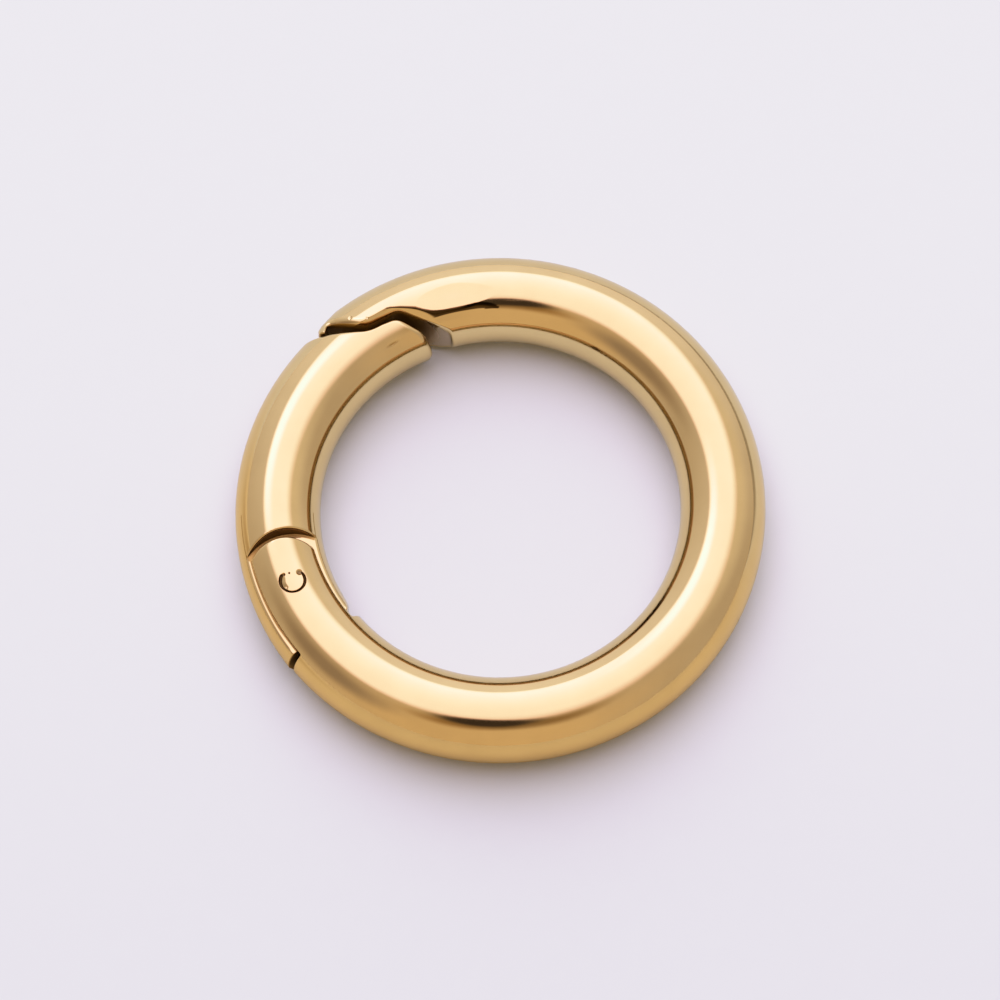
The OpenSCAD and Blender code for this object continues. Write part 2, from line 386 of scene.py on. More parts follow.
class RingForm:
    """The ring's pieces as distances from their surfaces, in metres and below zero inside the metal."""

    def __init__(self, size, edge):
        self.size, self.edge = size, edge
        self.wire_r = size.wire_d / 2
        self.ring_r = size.ring_od / 2 - self.wire_r
        self.pin = np.array(HINGE["pos_m"][:2])
        self.pin_angle = math.atan2(self.pin[1], self.pin[0]) % (2 * math.pi)
        scale = size.wire_d / OUTLINE_WIRE_D
        self.gate_outline = Outline(GATE_OUTLINE, scale)
        self.hook_outline = Outline(HOOK_OUTLINE, scale)
        self.tongue_reach = size.slot_reach - size.tongue_end_gap
        # Centre of the tongue's round corner, which meets its end and the inside of the wire.
        self.corner_y = self.tongue_reach - size.tongue_corner_r
        inner = self.ring_r - self.wire_r + size.tongue_corner_r
        sideways = self.ring_r * math.sin(size.slot_skew) - self.corner_y
        self.corner_x = math.sqrt(inner ** 2 - sideways ** 2) - self.ring_r * math.cos(size.slot_skew)

    def wire(self, p):
        """The whole round wire, bent into a ring."""
        return np.hypot(np.hypot(p[:, 0], p[:, 1]) - self.ring_r, p[:, 2] - self.wire_r) - self.wire_r

    def about_pin(self, p, angle):
        """Points turned about the pin, anticlockwise seen from above."""
        c, s = math.cos(angle), math.sin(angle)
        x, y = p[:, 0] - self.pin[0], p[:, 1] - self.pin[1]
        return np.column_stack([self.pin[0] + c * x - s * y, self.pin[1] + s * x + c * y, p[:, 2]])

    def gate_wire(self, p):
        """The wire that the gate is cut from, as it lies when closed."""
        return self.wire(self.about_pin(p, self.size.gate_droop))

    def in_joint(self, p):
        """Places along the wire towards the hook and outwards across it, from the nose joint's middle."""
        out = direction(self.size.joint_angle)
        return p[:, 0] * out[1] - p[:, 1] * out[0], p[:, 0] * out[0] + p[:, 1] * out[1] - self.ring_r

    def in_slot(self, p):
        """Places outwards along the slot's end wall and towards that wall, from the pin."""
        out = direction(self.pin_angle + self.size.slot_skew)
        x, y = p[:, 0] - self.pin[0], p[:, 1] - self.pin[1]
        return x * out[0] + y * out[1], y * out[0] - x * out[1]

    def from_pin(self, p):
        """Distance from the pin's axis."""
        return np.hypot(p[:, 0] - self.pin[0], p[:, 1] - self.pin[1])

    def gate_side(self, p):
        """Distance from the radial line through the pin, towards the gate."""
        out = self.pin / np.linalg.norm(self.pin)
        return p[:, 0] * out[1] - p[:, 1] * out[0]

    def skin_height(self, x, y):
        """Height of the wire's upper surface over a place in the plan."""
        return self.wire_r + np.sqrt(self.wire_r ** 2 - (np.hypot(x, y) - self.ring_r) ** 2)

    def rivet_marks(self, x, y):
        """Depth of the marks in the rivet's upper end: a groove, a lean down to it, and small hollows."""
        edge = self.edge
        x, y = (x - self.pin[0]) / MM, (y - self.pin[1]) / MM
        shifted = y + edge.groove_shift / MM
        away = np.hypot(x, shifted)
        round_pin = np.degrees(np.arctan2(shifted, x))
        round_pin = np.where(round_pin < 90, round_pin + 360, round_pin)
        half = np.interp(round_pin, *np.transpose(GROOVE_WIDTHS)) / 2
        wall = 0.03
        off = abs(away - edge.groove_r / MM)
        depth = edge.groove_depth / MM * (1 - smooth(half - wall, half + wall, off)) * smooth(0, wall, half)
        middle, full, end, deep = RIVET_LEAN
        side = 1 - smooth(full, end, abs(round_pin - middle))
        lean = smooth(0.30, 0.52, away) * (1 - smooth(0.57, 0.62, away))
        depth = np.maximum(depth, deep * lean * side)
        for angle, out, radius, deep in RIVET_HOLLOWS:
            spot = direction(math.radians(angle)) * out
            bowl = deep * (1 - smooth(0.35, 1.1, np.hypot(x - spot[0], y - spot[1]) / radius))
            depth = np.maximum(depth, bowl)
        return depth * MM

    def flat(self, p, tilt, depths):
        """A flat filed in the wire's top, facing the front of the ring and up at that tilt."""
        round_ring = np.arctan2(p[:, 1], p[:, 0])
        up, front = math.sin(tilt), math.cos(tilt) * np.sin(round_ring)
        top = up * self.wire_r - front * self.ring_r + self.wire_r * np.hypot(front, up)
        at = np.degrees(round_ring)
        deep = sum(np.interp(at + shift, *np.transpose(depths)) for shift in FLAT_SHIFTS)
        return up * p[:, 2] - math.cos(tilt) * p[:, 1] - top + deep / len(FLAT_SHIFTS) * MM

    def hook_end(self, p):
        """The ring's end over the gate's nose, with three flats filed on its top and two nicks in it."""
        edge = self.edge
        along, out = self.in_joint(p)
        scale = self.size.wire_d / OUTLINE_WIRE_D
        rounding = np.interp(along / scale, *np.transpose(HOOK_ROUNDING)) * scale
        side, top = self.flat(p, edge.side_flat_tilt, SIDE_FLAT), self.flat(p, edge.top_flat_tilt, TOP_FLAT)
        flats = soft_max(side, top, edge.crease)
        flats = soft_max(flats, self.flat(p, edge.edge_flat_tilt, EDGE_FLAT), edge.crease)
        d = soft_max(self.wire(p), flats, edge.flat_rim)
        d = round_max(d, -self.hook_outline.left(along, out), rounding)
        for angle, around, radius in HOOK_NICKS:
            # A nick is the bottom of a ball whose middle lies half its radius over the skin.
            around = math.radians(around)
            over = self.wire_r + radius * 0.5 * MM
            rho = self.ring_r - over * math.cos(around)
            x, y = direction(math.radians(angle)) * rho
            centre = np.array([x, y, self.wire_r + over * math.sin(around)])
            d = round_max(d, radius * MM - np.linalg.norm(p - centre, axis=1), edge.burnished)
        return d

    def nose_end(self, p):
        """The gate's end under the hook, with a small dent in its top."""
        along, out = self.in_joint(p)
        scale = self.size.wire_d / OUTLINE_WIRE_D
        rounding = np.interp(along / scale, *np.transpose(NOSE_ROUNDING)) * scale
        dented = self.gate_wire(p) + NOSE_DENT[-1] * MM * self.dent(p)
        return round_max(dented, self.gate_outline.left(along, out), rounding)

    def dent(self, p):
        """The dent in the nose's top, 1 in its middle."""
        angle, around, long, wide, _ = NOSE_DENT
        p = self.about_pin(p, self.size.gate_droop)
        rho = np.hypot(p[:, 0], p[:, 1])
        on = (np.arctan2(p[:, 1], p[:, 0]) - math.radians(angle)) * rho / (long * MM)
        section = np.arctan2(p[:, 2] - self.wire_r, self.ring_r - rho)
        across = (section - math.radians(around)) * self.wire_r / (wide * MM)
        return np.exp(-on ** 2 - across ** 2)

    def spring_hole(self, p):
        """The blind hole for the spring, from the slot's end wall."""
        size = self.size
        x, y = self.in_slot(p)
        return np.maximum(np.hypot(x + size.spring_shift, p[:, 2] - self.wire_r) - size.spring_hole_d / 2,
                          y - size.slot_reach - size.spring_hole_depth)

    def fork_end(self, p):
        """The ring's end at the hinge: two cheeks with a slot between them."""
        size, edge = self.size, self.edge
        on = np.maximum(self.gate_side(p), 0)
        out = self.pin / np.linalg.norm(self.pin)
        across = p[:, 0] * out[0] + p[:, 1] * out[1] - self.ring_r - size.cheek_shift
        cheeks = np.where(on > 0, np.hypot(on, across), 0) - size.cheek_r
        cheek_edge = edge.cheek * smooth(0, 0.4 * MM, on) + edge.burnished
        _, y = self.in_slot(p)
        slot = round_max(abs(p[:, 2] - self.wire_r) - size.slot_h / 2, y - size.slot_reach, edge.inner)
        d = round_max(self.wire(p), cheeks, cheek_edge)
        at_end = smooth(size.slot_reach - 0.3 * MM, size.slot_reach, y)
        d = round_max(d, -slot, edge.slot + (edge.slot_end - edge.slot) * at_end)
        away = self.from_pin(p)
        d = round_max(d, size.pin_hole_d / 2 - away, edge.burnished)
        head = np.maximum(away - size.head_r - 0.005 * MM, -self.wire(p) - size.head_depth)
        d = np.maximum(d, -head)
        return round_max(d, -self.spring_hole(p), edge.burnished)

    def tongue_end(self, p):
        """The gate's end at the hinge: a hollow shoulder with a tongue that runs into the slot."""
        size, edge = self.size, self.edge
        shoulder = np.maximum(size.shoulder_r - self.from_pin(p), -self.gate_side(p))
        x, y = self.in_slot(p)
        dx, dy = x - self.corner_x, y - self.corner_y
        rounded = (dx < 0) & (dy > 0)
        end = np.where(rounded, np.hypot(dx, dy) - size.tongue_corner_r, y - self.tongue_reach)
        thick = abs(p[:, 2] - self.wire_r) - size.slot_h / 2 + size.tongue_gap
        tongue = round_max(thick, end, edge.tongue_end)
        side = np.where(x < 0, edge.tongue_inner, edge.tongue_outer)
        side = side + (edge.tongue_end - side) * smooth(-0.45 * MM, -0.15 * MM, y - self.tongue_reach)
        on_tongue = smooth(0.3 * MM, MM, abs(x)) * smooth(-2.6 * MM, -2.0 * MM, y)
        rounding = edge.shoulder + (side - edge.shoulder) * on_tongue
        d = round_max(self.gate_wire(p), round_min(shoulder, tongue, edge.inner), rounding)
        return round_max(d, size.tongue_hole_d / 2 - self.from_pin(p), edge.burnished)

    def crease(self, p):
        """1 on the painted dark line of shade in the crease between the hook's flats."""
        edge = self.edge
        side = self.flat(p, edge.side_flat_tilt, SIDE_FLAT)
        top = np.maximum(self.flat(p, edge.top_flat_tilt, TOP_FLAT), self.wire(p))
        apart = abs(side - top + CREASE_SHIFT) / math.sin(edge.top_flat_tilt - edge.side_flat_tilt)
        half = np.interp(np.degrees(np.arctan2(p[:, 1], p[:, 0])), *np.transpose(CREASE_WIDTHS)) / 2 * MM
        section = np.arctan2(p[:, 2] - self.wire_r, self.ring_r - np.hypot(p[:, 0], p[:, 1]))
        line = 1 - smooth(0.7 * half, 1.3 * half + 0.001 * MM, apart)
        return line * (half > 0) * (section > CREASE_FROM)

    def body_shade(self, p):
        """1 on the hook's end wall beside the ring's hole, where a pale reflection is painted, and -1 on
        the painted shade in its crease.
        """
        along, out = self.in_joint(p)
        cut = smooth(0.05 * MM, 0.25 * MM, -self.wire(p))
        return cut * smooth(0.75 * MM, 2.0 * MM, along) * (out > -HOOK_REACH) - self.crease(p)

    def body_painted_shade(self, p):
        """How much painted shade the ring's body takes: its cut faces by their depth, and the rounded lip
        of the hook.
        """
        depth = np.maximum(-self.wire(p) / MM, 0)
        along, out = self.in_joint(p)
        at_hook = out > -HOOK_REACH
        rounding = np.interp(along / MM, *np.transpose(HOOK_ROUNDING)) * MM
        lip = smooth(-0.38, -0.11, -self.hook_outline.left(along, out) / rounding) * (depth > 0.01)
        lip = lip * at_hook * smooth(1.8 * MM, 0.4 * MM, along)
        painted_shade = depth * np.where(at_hook, POLISHED_SHARE, 1) + LIP_SHADE * lip
        return painted_shade * (1 - TIP_LOSS * smooth(-2.3 * MM, -2.9 * MM, along) * at_hook)

    def gate_painted_shade(self, p):
        """The same for the gate: a share at the polished nose, more in its dent, and on the tongue beside
        the cheek, at the shoulder, on its cut faces and on its end.
        """
        depth = np.maximum(-self.gate_wire(p) / MM, 0)
        half = self.size.slot_h / 2 - self.size.tongue_gap
        height = abs(p[:, 2] - self.wire_r)
        x, y = self.in_slot(p)
        outer = np.hypot(p[:, 0], p[:, 1]) - self.ring_r
        beside_cheek = (x > 0) * smooth(1.60 * MM, 1.56 * MM, outer)
        at_shoulder = smooth(2.38 * MM, 2.5 * MM, self.from_pin(p)) * (y < 0)
        flat = smooth(half - 0.02 * MM, half - 0.004 * MM, height) * (height < half + 0.03 * MM)
        end = smooth(self.tongue_reach - 0.03 * MM, self.tongue_reach - 0.01 * MM, y)
        tongue = depth * smooth(half + 0.01 * MM, half + 0.06 * MM, height)
        tongue += (TONGUE_SIDE_SHADE * beside_cheek + SHOULDER_SHADE * at_shoulder) * flat
        nose = POLISHED_SHARE * depth + DENT_SHADE * self.dent(p)
        return np.where(p[:, 1] > 0, nose, tongue + TONGUE_END_SHADE * end)

    def rivet_painted_shade(self, p):
        """The same for the rivet: the depth of its marks."""
        return np.maximum(-self.wire(p) / MM, 0)


def gradient(distance, points, step=1e-7):
    """How fast a distance grows along X, Y and Z."""
    out = np.empty_like(points)
    for axis in range(3):
        shift = np.zeros(3)
        shift[axis] = step
        out[:, axis] = (distance(points + shift) - distance(points - shift)) / (2 * step)
    return out


def settle(points, distance, rounds=6, reach=0.05 * MM):
    """Points moved onto the surface where distance is zero, and the surface's normals there."""
    for _ in range(rounds):
        slope = gradient(distance, points)
        step = -(distance(points) / np.maximum((slope ** 2).sum(1), 0.05))[:, None] * slope
        size = np.linalg.norm(step, axis=1, keepdims=True)
        points = points + step * np.minimum(1, reach / np.maximum(size, 1e-12))
    slope = gradient(distance, points)
    return points, slope / np.maximum(np.linalg.norm(slope, axis=1, keepdims=True), 1e-9)


def graded(*spans):
    """Lines through spans of (from, to, step), shared ends taken once."""
    lines = [np.linspace(a, b, max(2, round(abs(b - a) / step) + 1))[:-1] for a, b, step in spans]
    return np.concatenate([*lines, [spans[-1][1]]])


def degrees(*spans):
    """Graded lines given in degrees."""
    return np.radians(graded(*spans))


def mirrored(*spans):
    """Graded lines from 0 outwards, repeated on the other side of 0."""
    half = graded(*spans)
    return np.concatenate([-half[:0:-1], half])


def full_turn(sides):
    """Angles all the way round, one a side."""
    return np.arange(sides) / sides * 2 * math.pi


def ring_quads(rings, sides):
    """Quads between each ring of points and the next."""
    ring, side = np.meshgrid(np.arange(rings - 1), np.arange(sides), indexing="ij")
    a, b = (ring * sides + side).ravel(), (ring * sides + (side + 1) % sides).ravel()
    return np.stack([a, b, b + sides, a + sides], 1)


class WireGrid:
    """Places in the bent wire: round the ring, and over a square that is mapped onto the wire's section."""

    def __init__(self, form, droop=0.0):
        self.form, self.droop = form, droop

    def place(self, angle, p, q):
        """The point at a plan angle and at p, q of the square, whose edge at 1 is the wire's surface."""
        flat = abs(p) > abs(q)
        long = np.where(flat, p, q)
        short = np.where(flat, q, p)
        ratio = np.divide(short, long, out=np.zeros_like(long), where=long != 0) * math.pi / 4
        radius = long * self.form.wire_r
        u = radius * np.where(flat, np.cos(ratio), np.sin(ratio))
        w = radius * np.where(flat, np.sin(ratio), np.cos(ratio))
        out = self.form.ring_r + u
        points = np.stack([out * np.cos(angle), out * np.sin(angle), self.form.wire_r + w], -1)
        return self.form.about_pin(points.reshape(-1, 3), -self.droop).reshape(points.shape)

    def round_section(self, points):
        """The angle of points round the wire's section."""
        points = self.form.about_pin(points, self.droop)
        u = np.hypot(points[:, 0], points[:, 1]) - self.form.ring_r
        return np.arctan2(points[:, 2] - self.form.wire_r, u)

    def net(self, distance, angles, p_lines, q_lines):
        """A surface of quads where distance is zero, open where it leaves the first or last angle."""
        lines = (angles, p_lines, q_lines)
        grid = self.place(*np.meshgrid(*lines, indexing="ij"))
        value = distance(grid.reshape(-1, 3)).reshape(grid.shape[:3])
        inside = value < 0
        cells = tuple(n - 1 for n in inside.shape)
        corner_sum = sum(inside[a:a + cells[0], b:b + cells[1], c:c + cells[2]].astype(np.int8)
                         for a in (0, 1) for b in (0, 1) for c in (0, 1))
        active = np.argwhere((corner_sum > 0) & (corner_sum < 8))
        number = np.full(cells, -1)
        number[tuple(active.T)] = np.arange(len(active))
        total, count = np.zeros((len(active), 3)), np.zeros(len(active))
        for axis in range(3):
            others = [k for k in range(3) if k != axis]
            for shift in ((0, 0), (0, 1), (1, 0), (1, 1)):
                low = active.copy()
                low[:, others] += shift
                high = low.copy()
                high[:, axis] += 1
                a, b = value[tuple(low.T)], value[tuple(high.T)]
                crosses = (a < 0) != (b < 0)
                t = np.where(crosses, a / np.where(crosses, a - b, 1), 0)[:, None]
                at = grid[tuple(low.T)] * (1 - t) + grid[tuple(high.T)] * t
                total += at * crosses[:, None]
                count += crosses
        points, normals = settle(total / count[:, None], distance)
        quads = []
        for axis in range(3):
            others = [k for k in range(3) if k != axis]
            low = [slice(None)] * 3
            high = [slice(None)] * 3
            low[axis], high[axis] = slice(0, -1), slice(1, None)
            edges = np.argwhere(inside[tuple(low)] != inside[tuple(high)])
            kept = np.all([(edges[:, k] > 0) & (edges[:, k] < cells[k]) for k in others], axis=0)
            edges = edges[kept]
            beside = []
            for shift in ((-1, -1), (0, -1), (0, 0), (-1, 0)):
                cell = edges.copy()
                cell[:, others] += shift
                beside.append(number[tuple(cell.T)])
            quads.append(np.stack(beside, 1))
        first = np.flatnonzero(active[:, 0] == 0)
        last = np.flatnonzero(active[:, 0] == cells[0] - 1)
        return Surface(points, normals, [np.concatenate(quads)], [first, last])

    def tube(self, distance, angles, sides):
        """A plain stretch of the wire's surface, open at both ends."""
        angle, phi = (g.ravel() for g in np.meshgrid(angles, full_turn(sides), indexing="ij"))
        out = self.form.ring_r + self.form.wire_r * np.cos(phi)
        up = self.form.wire_r * (1 + np.sin(phi))
        points = np.stack([out * np.cos(angle), out * np.sin(angle), up], -1)
        points, normals = settle(self.form.about_pin(points, -self.droop), distance, rounds=1)
        ends = [np.arange(sides), np.arange(sides) + (len(angles) - 1) * sides]
        return Surface(points, normals, [ring_quads(len(angles), sides)], ends)


class Surface:
    """Points with normals, faces in lists of one corner count each, and loops of points at open ends."""

    def __init__(self, points, normals, faces, ends=(), wound_alike=False):
        self.points, self.normals, self.faces, self.ends = points, normals, faces, list(ends)
        self.wound_alike = wound_alike
        self.painted_shade = self.shade = np.zeros(len(points))

    def joined(self, other):
        """Both surfaces as one, with the ends of both in order."""
        shift = len(self.points)
        points = np.concatenate([self.points, other.points])
        normals = np.concatenate([self.normals, other.normals])
        return Surface(points, normals, self.faces + [f + shift for f in other.faces],
                       self.ends + [e + shift for e in other.ends])

    def with_painted_shade(self, painted_shade, shade=None):
        """The surface with each point's two values of painted shade noted."""
        self.painted_shade = painted_shade(self.points)
        if shade:
            self.shade = shade(self.points)
        return self

    def zipped(self, first, second, angle_of):
        """Two open ends closed onto each other with triangles, in the order of their points' angles."""
        a, b = self.ends[first], self.ends[second]
        at_a, at_b = angle_of(self.points[a]), angle_of(self.points[b])
        a, at_a = a[np.argsort(at_a)], np.sort(at_a)
        b, at_b = b[np.argsort(at_b)], np.sort(at_b)
        full = 2 * math.pi
        next_a, next_b = np.append(at_a[1:], at_a[0] + full), np.append(at_b[1:], at_b[0] + full)
        i = j = 0
        faces = []
        while i < len(a) or j < len(b):
            here_a, here_b = a[i % len(a)], b[j % len(b)]
            if j == len(b) or (i < len(a) and next_a[i] <= next_b[j]):
                faces.append((here_a, a[(i + 1) % len(a)], here_b))
                i += 1
            else:
                faces.append((here_a, b[(j + 1) % len(b)], here_b))
                j += 1
        self.faces.append(np.array(faces))
        return self

    def facing_out(self):
        """The faces turned to their points' normals: each by itself, or a whole list if wound alike."""
        out = []
        for faces in self.faces:
            corner = self.points[faces]
            across = np.cross(corner[:, 2] - corner[:, 0], corner[:, -1] - corner[:, 1])
            agree = (across * self.normals[faces].sum(1)).sum(1)
            wrong = np.full(len(faces), agree.sum() < 0) if self.wound_alike else agree < 0
            out.append(np.where(wrong[:, None], faces[:, ::-1], faces))
        return out

    def to_object(self, name, material):
        """A Blender object of this surface, shaded by its own normals."""
        mesh = bpy.data.meshes.new(name)
        faces = [tuple(f) for block in self.facing_out() for f in block.tolist()]
        mesh.from_pydata(self.points.tolist(), [], faces)
        mesh.validate()
        mesh.shade_smooth()
        mesh.normals_split_custom_set_from_vertices(self.normals.tolist())
        for label, values in ((PAINTED_SHADE_NAME, self.painted_shade), (SHADE, self.shade)):
            mesh.attributes.new(label, "FLOAT", "POINT").data.foreach_set("value", values)
        mesh.materials.append(material)
        obj = bpy.data.objects.new(name, mesh)
        bpy.context.scene.collection.objects.link(obj)
        return obj


def capped(points, normals, sides, tips, tip_normals):
    """A closed surface of rings of points, each end fanned to a tip."""
    rings = len(points) // sides
    here, there = np.arange(sides), (np.arange(sides) + 1) % sides
    low, tip = (rings - 1) * sides, np.full(sides, len(points))
    fans = [np.stack([there, here, tip], 1), np.stack([low + here, low + there, tip + 1], 1)]
    return Surface(np.concatenate([points, tips]), np.concatenate([normals, tip_normals]),
                   [ring_quads(rings, sides), np.concatenate(fans)], wound_alike=True)


def add_piece(surface, name, material, body, node):
    """A finished piece in the place of a node of the frame."""
    piece = surface.to_object(name, material)
    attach(piece, body)
    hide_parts(node)
    return piece


class Nodes:
    """Short calls for building a node tree."""

    def __init__(self, tree):
        self.tree = tree

    def add(self, kind, settings=None, inputs=None):
        """A node with its settings, and its inputs set to values or linked from sockets."""
        node = self.tree.nodes.new(kind)
        for key, value in (settings or {}).items():
            setattr(node, key, value)
        for key, value in (inputs or {}).items():
            self.give(node.inputs[key], value)
        return node

    def give(self, socket, value):
        """A socket's value, or its link."""
        if isinstance(value, bpy.types.NodeSocket):
            self.tree.links.new(value, socket)
        else:
            socket.default_value = value

    def math(self, operation, *values):
        """A math node's result."""
        node = self.add("ShaderNodeMath", {"operation": operation})
        for socket, value in zip(node.inputs, values):
            self.give(socket, value)
        return node.outputs[0]

    def attribute(self, name):
        """A value that the mesh carries."""
        return self.add("ShaderNodeAttribute", {"attribute_name": name}).outputs["Fac"]

    def noise(self, place, scale, detail, roughness=0.5):
        """A cloudy pattern from 0 to 1, with that many clouds a metre."""
        inputs = {"Vector": place, "Scale": scale, "Detail": detail, "Roughness": roughness}
        return self.add("ShaderNodeTexNoise", inputs=inputs).outputs["Fac"]

    def spread(self, value, low, high, to_low=0.0, to_high=1.0):
        """value carried smoothly from one range to another."""
        given = {"Value": value, "From Min": low, "From Max": high, "To Min": to_low, "To Max": to_high}
        node = self.add("ShaderNodeMapRange", {"interpolation_type": "SMOOTHSTEP"}, given)
        return node.outputs["Result"]

    def blend(self, share_of_b, a, b, kind="MIX"):
        """Colour a turning into colour b."""
        node = self.add("ShaderNodeMix", {"data_type": "RGBA", "blend_type": kind})
        for socket, value in zip((node.inputs[0], node.inputs[6], node.inputs[7]), (share_of_b, a, b)):
            self.give(socket, value)
        return node.outputs[2]

    def tinted(self, a, b):
        """Colour a times colour b."""
        return self.blend(1.0, a, b, "MULTIPLY")

    def surface(self, inputs):
        """The material's shader and its output."""
        shader = self.add("ShaderNodeBsdfPrincipled", inputs=inputs)
        self.add("ShaderNodeOutputMaterial", inputs={"Surface": shader.outputs["BSDF"]})


def new_group(name, inputs, outputs):
    """An empty shader node group with named sockets, its nodes helper and its two end nodes."""
    tree = bpy.data.node_groups.new(name, "ShaderNodeTree")
    for label, kind, value in inputs:
        socket = tree.interface.new_socket(label, in_out="INPUT", socket_type=kind)
        if value is not None:
            socket.default_value = value
    for label, kind in outputs:
        tree.interface.new_socket(label, in_out="OUTPUT", socket_type=kind)
    nodes = Nodes(tree)
    return nodes, nodes.add("NodeGroupInput").outputs, nodes.add("NodeGroupOutput").inputs


def new_material(name):
    """An empty material and its nodes helper."""
    material = bpy.data.materials.new(name)
    material.use_nodes = True
    material.node_tree.nodes.clear()
    return material, Nodes(material.node_tree)


def colour(rgb):
    """A linear colour with full alpha."""
    return (*rgb, 1.0)


def polish_group():
    """Marks of polishing on metal: slow ripples, fine hairlines and small changes of gloss."""
    name = "Polishing Marks"
    if name in bpy.data.node_groups:
        return bpy.data.node_groups[name]
    nodes, given, result = new_group(
        name,
        [("Position", "NodeSocketVector", None), ("Roughness", "NodeSocketFloat", 0.1),
         ("Ripple", "NodeSocketFloat", 0.3), ("Scratches", "NodeSocketFloat", 0.3)],
        [("Tone", "NodeSocketFloat"), ("Roughness", "NodeSocketFloat"), ("Height", "NodeSocketFloat")],
    )
    place = given["Position"]
    slow = nodes.noise(place, 220.0, 1.0, 0.4)
    cloud = nodes.noise(place, 500.0, 4.0, 0.55)
    hairs = []
    for angle, stretch in ((0.5, 0.04), (2.1, 0.06), (3.9, 0.05)):
        turn_and_stretch = {"Vector": place, "Rotation": (0.3, 0.2, angle), "Scale": (stretch, 1.0, 1.0)}
        turned = nodes.add("ShaderNodeMapping", inputs=turn_and_stretch).outputs["Vector"]
        hairs.append(nodes.spread(nodes.noise(turned, 9000.0, 1.0), 0.7, 0.78))
    marks = nodes.math("ADD", nodes.math("ADD", hairs[0], hairs[1]), hairs[2])
    patchy = nodes.math("MULTIPLY", marks, nodes.spread(cloud, 0.45, 0.65))
    strength = nodes.math("MULTIPLY", patchy, given["Scratches"])
    # Heights in metres: ripples are fractions of a micrometre over millimetres, hairlines shallower still.
    ripple = nodes.math("MULTIPLY", nodes.math("MULTIPLY", slow, given["Ripple"]), 1e-6)
    height = nodes.math("SUBTRACT", ripple, nodes.math("MULTIPLY", strength, 2e-7))
    rougher = nodes.math("ADD", nodes.math("MULTIPLY", cloud, 0.5), 0.75)
    roughness = nodes.math("ADD", nodes.math("MULTIPLY", given["Roughness"], rougher),
                           nodes.math("MULTIPLY", strength, 0.25))
    tone = nodes.spread(cloud, 0.3, 0.7)
    nodes.give(result["Tone"], tone)
    nodes.give(result["Roughness"], roughness)
    nodes.give(result["Height"], height)
    return nodes.tree


def polished_metal(name, rgb, roughness, ripple, scratches, recess_shade, recess_span=RECESS_SPAN):
    """Solid metal with polishing marks and painted shade: recesses darkened by the recess tint between two
    values of the painted-shade attribute, crevices painted near black, a pale painted reflection on the
    hook's end wall, and darker gold where other gold reflects it.
    """
    material, nodes = new_material(name)
    material.diffuse_color = colour(rgb)
    finish = bpy.context.scene.metal_finish
    place = nodes.add("ShaderNodeTexCoord").outputs["Object"]
    given = {"Position": place, "Roughness": roughness, "Ripple": ripple, "Scratches": scratches}
    marks = nodes.add("ShaderNodeGroup", {"node_tree": polish_group()}, given).outputs
    painted_shade, shade = nodes.attribute(PAINTED_SHADE_NAME), nodes.attribute(SHADE)
    # Painted shade: cut faces and recesses darken by depth, grooves, the hook's crease and the tongue's end
    # are painted near black, and the hook's end wall takes a pale bluish painted reflection.
    deep, painted_reflection = nodes.spread(painted_shade, *recess_span), nodes.spread(shade, 0.0, 1.0)
    crevice_shade = nodes.math("MAXIMUM", nodes.spread(painted_shade, *CREVICE_SHADE_SPAN), nodes.spread(shade, 0.0, -1.0))
    in_metal = nodes.add("ShaderNodeLightPath").outputs["Is Glossy Ray"]
    darker = tuple(0.94 * c for c in rgb)
    tone = nodes.blend(marks["Tone"], colour(darker), colour(rgb))
    tone = nodes.blend(deep, tone, nodes.tinted(tone, colour(recess_shade)))
    tone = nodes.blend(crevice_shade, tone, nodes.tinted(tone, colour(finish.crevice_shade)))
    # Painted reflection on the hook's end wall, with a little less roughness there.
    tone = nodes.blend(painted_reflection, tone, colour([a * b for a, b in zip(rgb, finish.painted_reflection)]))
    # Painted shade in reflections: gold is darker where other gold reflects it.
    tone = nodes.blend(in_metal, tone, nodes.tinted(tone, colour(finish.gold_in_gold)))
    less = nodes.math("MULTIPLY", painted_reflection, finish.painted_reflection_polish)
    rough = nodes.math("MULTIPLY", deep, nodes.math("SUBTRACT", finish.recess_rough, less))
    rough = nodes.math("ADD", marks["Roughness"], rough)
    bump = nodes.add("ShaderNodeBump", inputs={"Strength": 1.0, "Distance": 1.0, "Height": marks["Height"]})
    nodes.surface({"Base Color": tone, "Metallic": 1.0, "Roughness": rough,
                   "Normal": bump.outputs["Normal"]})
    return material


def gold(name, recess_shade):
    """The ring's gold plating."""
    finish = bpy.context.scene.metal_finish
    return polished_metal(name, finish.gold, finish.polish, finish.ripple, finish.scratches, recess_shade)


def ring_form():
    """The form that the sidebar's sizes give."""
    scene = bpy.context.scene
    return RingForm(scene.ring_sizes, scene.edge_roundings)


# Grid lines over the wire's section, as shares of its radius: closer near the surface, round the pin and at
# the slot.
SKIN_SPAN = (0.86, 1.02, 0.032)
TIP_LINES = (0.24, 0.70, 0.03)
PIN_LINES = mirrored((0, 0.44, 0.022), (0.44, 0.86, 0.045), SKIN_SPAN)
SLOT_LINES = mirrored((0, 0.55, 0.08), (0.55, 0.86, 0.03), SKIN_SPAN)
NOSE_LINES = mirrored((0, 0.86, 0.04), SKIN_SPAN)
HOOK_LINES = graded((-1.02, -0.86, 0.032), (-0.86, -0.76, 0.04), (-0.76, 0.24, 0.025), TIP_LINES,
                    (0.70, 0.86, 0.05), SKIN_SPAN)
TUBE_SIDES = 96
RIVET_SIDES = 240
COIL_SIDES, COIL_STEPS = 12, 32


